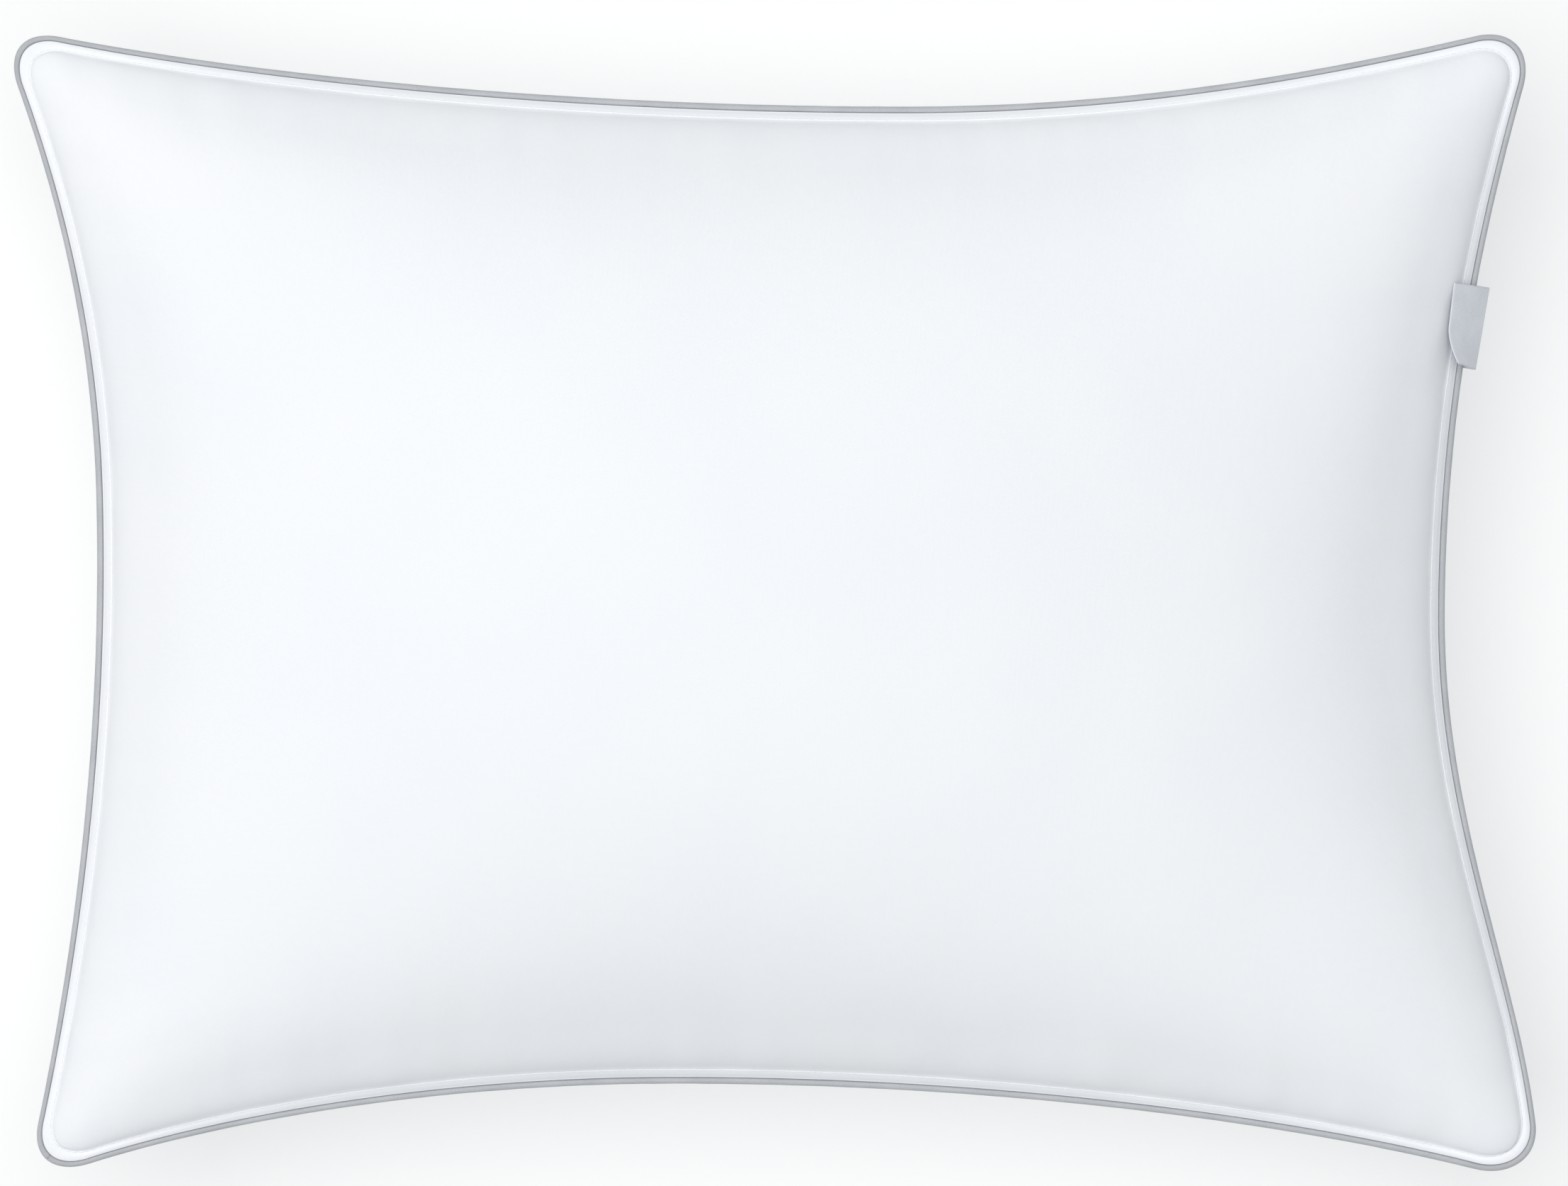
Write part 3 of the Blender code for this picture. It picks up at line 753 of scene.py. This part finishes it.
def make_panel(name, node, side, ply_z, allowance_z, steps, material):
    """One panel of the cover, from its dome over the flange to its turned-in raw edge."""
    surface = cover_surface(side, steps)
    rows, columns = surface.shape[:2]
    edge = grid_edge(FINE)
    points = surface.reshape(-1, 3).copy()
    points[edge] = ring(FINE, DOME_D, ply_z + side * flange_lift(DOME_D))
    places = fabric_lengths(surface).reshape(-1, 2)
    faces = grid_faces(rows, columns)
    loops, all_points, all_places = [edge], [points], [places]
    lengths = running_length(ring(FINE, STITCH_D, 0.0))[:-1]
    ripple = waviness(lengths, 0.009, side * 1.9)
    last = points[edge]
    here = places[edge]
    for number, (d, z) in enumerate(flange_path(side, ply_z, allowance_z)):
        row = ring(FINE, d, z)
        if number < FLANGE_ROWS:
            row[:, 2] += side * flange_lift(d)
        if 1 < number <= FLANGE_ROWS:
            row[:, 2] += side * FLANGE_RIPPLE * ripple
        here = here + FINE.outwards * np.linalg.norm(row - last, axis=1)[:, None]
        loops.append(np.arange(len(row)) + sum(len(block) for block in all_points))
        all_points.append(row)
        all_places.append(here)
        last = row
    for before, after in zip(loops, loops[1:]):
        faces += strip_faces(before, after)
    panel = mesh_object(name, np.concatenate(all_points), faces)
    add_cloth_places(panel, np.concatenate(all_places))
    thicken(panel, PLY)
    finish_piece(panel, material, "cover", node)
    return panel


# ---- the filling ----

def make_filling(steps, material):
    """The filling follows the cover from inside, in uneven clumps, and closes round the seam's raw edges."""
    upper = UPPER_ALLOWANCE_Z + PLY / 2 + 3 * GAP + 2 * THREAD_RADIUS
    lower = LOWER_ALLOWANCE_Z - PLY / 2 - 3 * GAP - 2 * THREAD_RADIUS
    edge_d, groove_d = DOME_D + FILL_INSET, RAW_D + PLY + 4 * GAP
    level = seam_level(flat_grid(COARSE, DOME_D)[0])
    blocks = []
    for side, moved, limit in ((1, steps[0], upper), (-1, steps[1], lower)):
        surface = dome(COARSE, side) + moved
        clumps = FILL_CLEARANCE + CLUMPS * lumpiness(surface * 2.5, 8.1)
        surface = surface - grid_normals(surface) * side * clumps[..., None]
        if side > 0:
            surface[..., 2] = np.maximum(surface[..., 2], level + limit)
        else:
            surface[..., 2] = np.clip(surface[..., 2], FILL_FLOOR, level + limit)
        block = surface.reshape(-1, 3)
        block[grid_edge(COARSE)] = ring(COARSE, edge_d, limit)
        blocks.append(block)
    size = len(blocks[0])
    edge = grid_edge(COARSE)
    groove = [ring(COARSE, groove_d, upper), ring(COARSE, groove_d, lower)]
    loops = [edge, np.arange(len(edge)) + 2 * size, np.arange(len(edge)) + 2 * size + len(edge), edge + size]
    rows, columns = COARSE.long_cells + 1, COARSE.short_cells + 1
    faces = grid_faces(rows, columns) + grid_faces(rows, columns, size)
    for before, after in zip(loops, loops[1:]):
        faces += strip_faces(before, after)
    filling = mesh_object("fibre_filling", np.concatenate(blocks + groove), faces)
    finish_piece(filling, material, "fibre", "fibre_fill")
    return filling


# ---- the piping ----

def make_piping_cover(material):
    """The grey tape that is folded round the cord. Its two ends run into the seam. It's a little uneven,
    as a bias strip is."""
    count = len(FINE.places)
    lengths = running_length(ring(FINE, PIPING_RADIUS, 0.0))[:-1]
    swell = 1 + PIPING_SWELL * waviness(lengths, 0.006, 4.4)
    drift = PIPING_DRIFT * waviness(lengths, 0.030, 6.1)
    start = math.asin(TAPE_Z / TAPE_RADIUS)
    turns = np.linspace(start, 2 * math.pi - start, 19)
    path = [(RAW_D, TAPE_Z), ((RAW_D + FOLD_D) / 2, TAPE_Z), (FOLD_D, TAPE_Z)]
    path += [(PIPING_RADIUS + TAPE_RADIUS * math.cos(t), TAPE_RADIUS * math.sin(t)) for t in turns]
    path += [(FOLD_D, -TAPE_Z), ((RAW_D + FOLD_D) / 2, -TAPE_Z), (RAW_D, -TAPE_Z)]
    rows, places, around = [], [], 0.0
    for number, (d, z) in enumerate(path):
        outside = d < PIPING_RADIUS * 1.9
        wide = swell if outside else np.ones(count)
        depths = PIPING_RADIUS + (d - PIPING_RADIUS) * wide
        rows.append(ring(FINE, depths, z * wide + (drift if outside else 0.0)))
        around += math.dist(path[number], path[number - 1]) if number else 0.0
        places.append(np.stack([lengths, np.full(count, around)], axis=1))
    loops = [np.arange(count) + k * count for k in range(len(rows))]
    faces = [face for before, after in zip(loops, loops[1:]) for face in strip_faces(before, after)]
    piping = mesh_object("piping_cover", np.concatenate(rows), faces)
    add_cloth_places(piping, np.concatenate(places))
    thicken(piping, PLY)
    return finish_piece(piping, material, "piping", "piping_tape")


def make_cord(material):
    """Three strands twisted together."""
    strand_radius = CORD_RADIUS * 0.46
    turns = round(SEAM_LENGTH / CORD_TWIST)
    lengths = np.linspace(0, SEAM_LENGTH, turns * 9, endpoint=False)
    strands = []
    for third in range(3):
        angle = 2 * math.pi * (lengths / SEAM_LENGTH * turns + third / 3)
        off = CORD_RADIUS - strand_radius
        strands.append(seam_at(lengths, PIPING_RADIUS + off * np.cos(angle), off * np.sin(angle)))
    cord = thread_object("piping_cord_strands", strands, strand_radius, closed=True)
    return finish_piece(cord, material, "cord", "piping_cord")


# ---- the stitching ----

def stitch_course(d, z, pitch, side, depth, lift):
    """A thread that lies on the fabric in stitches, and dips through it at each hole."""
    count = round(SEAM_LENGTH / pitch)
    dip = -0.25 * depth
    shape = ((0.0, -depth), (0.10, dip), (0.24, 0.0), (0.5, STITCH_ARCH), (0.76, 0.0), (0.90, dip))
    starts = np.arange(count) / count * SEAM_LENGTH
    lengths = np.concatenate([starts + share * SEAM_LENGTH / count for share, _ in shape])
    heights = np.concatenate([np.full(count, z + side * rise) for _, rise in shape])
    heights += side * np.interp(lengths % SEAM_LENGTH, SEAM_LENGTHS, np.append(lift, lift[0]))
    order = np.argsort(lengths)
    sway = STITCH_SWAY * waviness(lengths[order], 0.004, d * 900)
    return seam_at(lengths[order], d + sway, heights[order])


def make_stitching(material):
    """The topstitching's two threads, and the seam beside the piping, hidden in the upper panel's fold."""
    over = PLY / 2 + THREAD_RADIUS * 0.7
    above, below = UPPER_PLY_Z - STITCH_SINK + over, LOWER_PLY_Z + STITCH_SINK - over
    lift = flange_lift(STITCH_D)
    in_fold = (UPPER_PLY_Z + UPPER_ALLOWANCE_Z) / 2
    rows = (
        ("topstitching_above", "topstitch_needle_thread", STITCH_D, above, 1),
        ("topstitching_below", "topstitch_bobbin_thread", STITCH_D, below, -1),
        ("seam_stitching", "seam_thread", FOLD_D + PLY, in_fold, 1),
    )
    for name, node, d, z, side in rows:
        hidden = node == "seam_thread"
        pitch = SEAM_PITCH if hidden else STITCH_PITCH
        course = stitch_course(d, z, pitch, side, 0.0005, 0 * lift if hidden else lift)
        thread = thread_object(name, [course], THREAD_RADIUS * (0.5 if hidden else 1.0), closed=True)
        finish_piece(thread, material, "thread", node)


def make_overlocking(material):
    """Looped thread over the raw edges: out along the top, round the edge, and back slantwise below."""
    reach_d, end_d = RAW_D - OVERLOCK_REACH, RAW_D + GAP + THREAD_RADIUS
    top = UPPER_ALLOWANCE_Z + PLY / 2 + GAP + THREAD_RADIUS
    bottom = LOWER_ALLOWANCE_Z - PLY / 2 - GAP - THREAD_RADIUS
    loop = ((0.0, reach_d, top), (0.18, (reach_d + end_d) / 2, top), (0.34, end_d, top * 0.8),
            (0.42, end_d, 0.0), (0.50, end_d, bottom * 0.8), (0.66, (reach_d + end_d) / 2, bottom),
            (0.80, reach_d, bottom), (0.90, reach_d, bottom * 0.97), (0.93, end_d - 0.0003, top * 0.55))
    count = round(SEAM_LENGTH / OVERLOCK_PITCH)
    starts = np.arange(count) / count * SEAM_LENGTH
    step = SEAM_LENGTH / count
    lengths = np.stack([starts + share * step for share, _, _ in loop], axis=1).ravel()
    depths = np.tile([d for _, d, _ in loop], count)
    heights = np.tile([z for _, _, z in loop], count)
    course = seam_at(lengths, depths, heights)
    thread = thread_object("overlocking", [course], THREAD_RADIUS * 0.8, closed=True, resolution=0)
    return finish_piece(thread, material, "thread", "overlock_thread")


def make_closing_stitches(material):
    """Hand stitches that close the way in of the filling, under the flange of the left side."""
    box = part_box("closing_stitch")
    middle_y = (box[0].y + box[1].y) / 2
    course = ring(FINE, STITCH_D, 0.0)
    left = np.flatnonzero(course[:, 0] < -0.4 * HALF_LENGTH)
    nearest = left[np.argmin(np.abs(course[left, 1] - middle_y))]
    middle = SEAM_LENGTHS[nearest]
    count = round(CLOSING_LENGTH / CLOSING_PITCH)
    surface = LOWER_PLY_Z - PLY / 2 - THREAD_RADIUS * 0.6
    shape = (
        (0.0, FOLD_D + 0.0004, 0.0006),
        (0.08, FOLD_D + 0.0005, 0.0001),
        (0.2, FOLD_D + CLOSING_INSET, -0.00005),
        (0.34, FOLD_D + 1.7 * CLOSING_INSET, 0.0),
        (0.42, FOLD_D + 1.9 * CLOSING_INSET, 0.0006),
        (0.7, FOLD_D + 1.2 * CLOSING_INSET, 0.0008),
    )
    lengths, depths, heights = [], [], []
    for number in range(count):
        uneven = 0.0007 * noise.noise((number * 1.7, 0.3, 5.5))
        for share, d, z in shape:
            lengths.append(middle - CLOSING_LENGTH / 2 + (number + share) * CLOSING_PITCH + uneven)
            depths.append(d + uneven * 0.4)
            heights.append(surface + z)
    course = seam_at(np.array(lengths), np.array(depths), np.array(heights))
    thread = thread_object("closing_stitches", [course], THREAD_RADIUS, closed=False)
    return finish_piece(thread, material, "thread", "closing_stitch")


# ---- the label ----

def label_profile(angle):
    """The ribbon's middle line as (outwards, up) from the crease's axis: from its sewn-in ends, under the
    piping, round the crease and up the flap, which rises at this angle and bows a little."""
    under_z = -(PIPING_RADIUS + GAP + SATIN / 2)
    crease_z = under_z + CREASE_RISE
    throat_d = FOLD_D - GAP
    path = [
        (-(RAW_D + LABEL_REACH), LABEL_Z - crease_z),
        (-(RAW_D * 0.6 + FOLD_D * 0.4 + LABEL_REACH), LABEL_Z - crease_z),
        (-(throat_d + LABEL_REACH), LABEL_Z - crease_z),
        (-(throat_d - 0.0004 + LABEL_REACH), LABEL_Z - crease_z - 0.00025),
        (-(throat_d - 0.0009 + LABEL_REACH), -CREASE_RISE),
        (-(throat_d + LABEL_REACH) / 2, -CREASE_RISE - 0.00012),
    ]
    slope = math.radians(angle)
    turn = math.pi - slope
    radius = CREASE_RISE / 2
    middle_x = -(radius + (radius - CREASE_RISE) * math.cos(slope)) / math.sin(slope)
    middle = (middle_x, radius - CREASE_RISE)
    for share in np.linspace(0, 1, 9):
        spin = -math.pi / 2 + turn * share
        path.append((middle[0] + radius * math.cos(spin), middle[1] + radius * math.sin(spin)))
    start = path[-1]
    direction = (-math.cos(slope), math.sin(slope))
    reach = LABEL_FLAP - math.hypot(*start)
    for share in np.linspace(0, 1, 17)[1:]:
        bow = LABEL_BOW * math.sin(math.pi * share)
        path.append((
            start[0] + direction[0] * reach * share + direction[1] * bow,
            start[1] + direction[1] * reach * share - direction[0] * bow,
        ))
    return np.array(path)


def folded_ribbon(path):
    """Both plies of a ribbon that is folded end to end, along one side of its middle line and back."""
    runs = np.gradient(path, axis=0)
    normals = np.stack([runs[:, 1], -runs[:, 0]], axis=1) / np.linalg.norm(runs, axis=1)[:, None]
    lengths = np.concatenate([[0.0], np.cumsum(np.linalg.norm(np.diff(path, axis=0), axis=1))])
    share = lengths / lengths[-1]
    spread = 0.00009 + 0.00022 * np.clip((share - 0.6) / 0.38, 0, 1) ** 2
    outer, inner = path + normals * spread[:, None], path - normals * spread[:, None]
    direction = runs[-1] / np.linalg.norm(runs[-1])
    tip = [path[-1] + direction * spread[-1] * math.cos(t) + normals[-1] * spread[-1] * math.sin(t)
           for t in np.radians([45, 0, -45])]
    return np.concatenate([outer, tip, inner[::-1]])


def make_label(material):
    """A satin ribbon folded end to end, in one piece over its crease."""
    joint = frame["joints"][0]
    crease, along = Vector(joint["pos_m"]), Vector(joint["axis"]).normalized()
    outward = along.cross(Vector((0.0, 0.0, 1.0))).normalized()
    up = outward.cross(along)
    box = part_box("label_flap")
    middle = (box[0] + box[1]) / 2
    crease = crease + along * (middle - crease).dot(along)
    rows, places = [], []
    for share in np.linspace(-1, 1, LABEL_ROWS):
        angle = LABEL_ANGLE - LABEL_TWIST * share + LABEL_CURL * max(-share - LABEL_CURL_START, 0.0) ** 1.5
        profile = folded_ribbon(label_profile(angle))
        lengths = np.concatenate([[0.0], np.cumsum(np.linalg.norm(np.diff(profile, axis=0), axis=1))])
        for (out, rise), length in zip(profile, lengths):
            askew = LABEL_SKEW * (1 + share) / 2 * max(rise, 0.0)
            rows.append(crease + along * (share * LABEL_LENGTH / 2 - askew) + outward * out + up * rise)
            places.append((share * LABEL_LENGTH / 2, length))
    columns = len(rows) // LABEL_ROWS
    label = mesh_object("label", rows, grid_faces(LABEL_ROWS, columns))
    add_cloth_places(label, np.array(places))
    thicken(label, RIBBON)
    label.data.materials.append(material)
    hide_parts("label_root", "label_flap")
    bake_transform(label)
    return label


# ---- floor, light and camera ----

def make_floor():
    half = 6.0
    corners = [(-half, -half, 0), (half, -half, 0), (half, half, 0), (-half, half, 0)]
    mesh = bpy.data.meshes.new("floor")
    mesh.from_pydata(corners, [], [(0, 1, 2, 3)])
    floor = bpy.data.objects.new("floor", mesh)
    bpy.context.scene.collection.objects.link(floor)
    material = bpy.data.materials.new("floor_white")
    material.use_nodes = True
    shader = material.node_tree.nodes["Principled BSDF"]
    shader.inputs["Base Color"].default_value = (0.48, 0.48, 0.48, 1.0)
    shader.inputs["Emission Color"].default_value = (1.0, 1.0, 1.0, 1.0)
    shader.inputs["Emission Strength"].default_value = 0.45
    shader.inputs["Roughness"].default_value = 0.9
    shader.inputs["Specular IOR Level"].default_value = 0.1
    mesh.materials.append(material)


def make_light():
    """An even, slightly cool surround, and one broad soft light from the upper left that is a little warm."""
    world = bpy.data.worlds.new("surround")
    world.use_nodes = True
    background = world.node_tree.nodes["Background"]
    background.inputs["Color"].default_value = (0.87, 0.97, 1.0, 1.0)
    background.inputs["Strength"].default_value = 0.38
    bpy.context.scene.world = world
    sun = bpy.data.lights.new("key", "SUN")
    sun.energy = 2.31
    sun.color = (1.0, 0.972, 0.965)
    sun.angle = math.radians(60)
    key = bpy.data.objects.new("key", sun)
    key.rotation_euler = Vector((-0.21, 0.10, 1.0)).to_track_quat("Z", "Y").to_euler()
    bpy.context.scene.collection.objects.link(key)


def make_camera():
    """Straight above the pillow, far enough away for its outline to be seen without perspective."""
    distance, view_width = 5.0, 0.6563
    camera = bpy.data.cameras.new("camera")
    camera.sensor_width = 36.0
    camera.lens = camera.sensor_width * distance / view_width
    thing = bpy.data.objects.new("camera", camera)
    thing.location = (0.0038, 0.0041, SEAM_HEIGHT + distance)
    bpy.context.scene.collection.objects.link(thing)
    bpy.context.scene.camera = thing
    bpy.context.scene.view_settings.view_transform = "Standard"


def check_course():
    """Stops if the seam drawn here doesn't reach as far as the CAD's on each of the four sides."""
    low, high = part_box("piping_tape")
    points = ring(FINE, 0.0, 0.0)
    for axis in (0, 1):
        for here, there in ((points[:, axis].min(), low[axis]), (points[:, axis].max(), high[axis])):
            if abs(here - there) > COURSE_TOLERANCE:
                raise ValueError(f"the seam is {here:.4f} here and {there:.4f} in the CAD")


check_course()
make_floor()
make_light()
make_camera()

coarse_domes = [dome(COARSE, side) for side in (1, -1)]
moves = swollen(coarse_domes)
percale = cover_material()
white_thread = thread_material("white_thread", (0.74, 0.76, 0.79), (0.88, 0.90, 0.93), 2600.0)
upper = make_panel("cover_upper", "top_panel", 1, UPPER_PLY_Z, UPPER_ALLOWANCE_Z, moves[0], percale)
lower = make_panel("cover_lower", "bottom_panel", -1, LOWER_PLY_Z, LOWER_ALLOWANCE_Z, moves[1], percale)
make_filling(moves, fibre_material())
make_piping_cover(piping_material())
make_cord(thread_material("cotton_cord", (0.70, 0.67, 0.60), (0.86, 0.84, 0.78), 1400.0))
make_stitching(white_thread)
make_overlocking(white_thread)
make_closing_stitches(white_thread)
make_label(label_material())
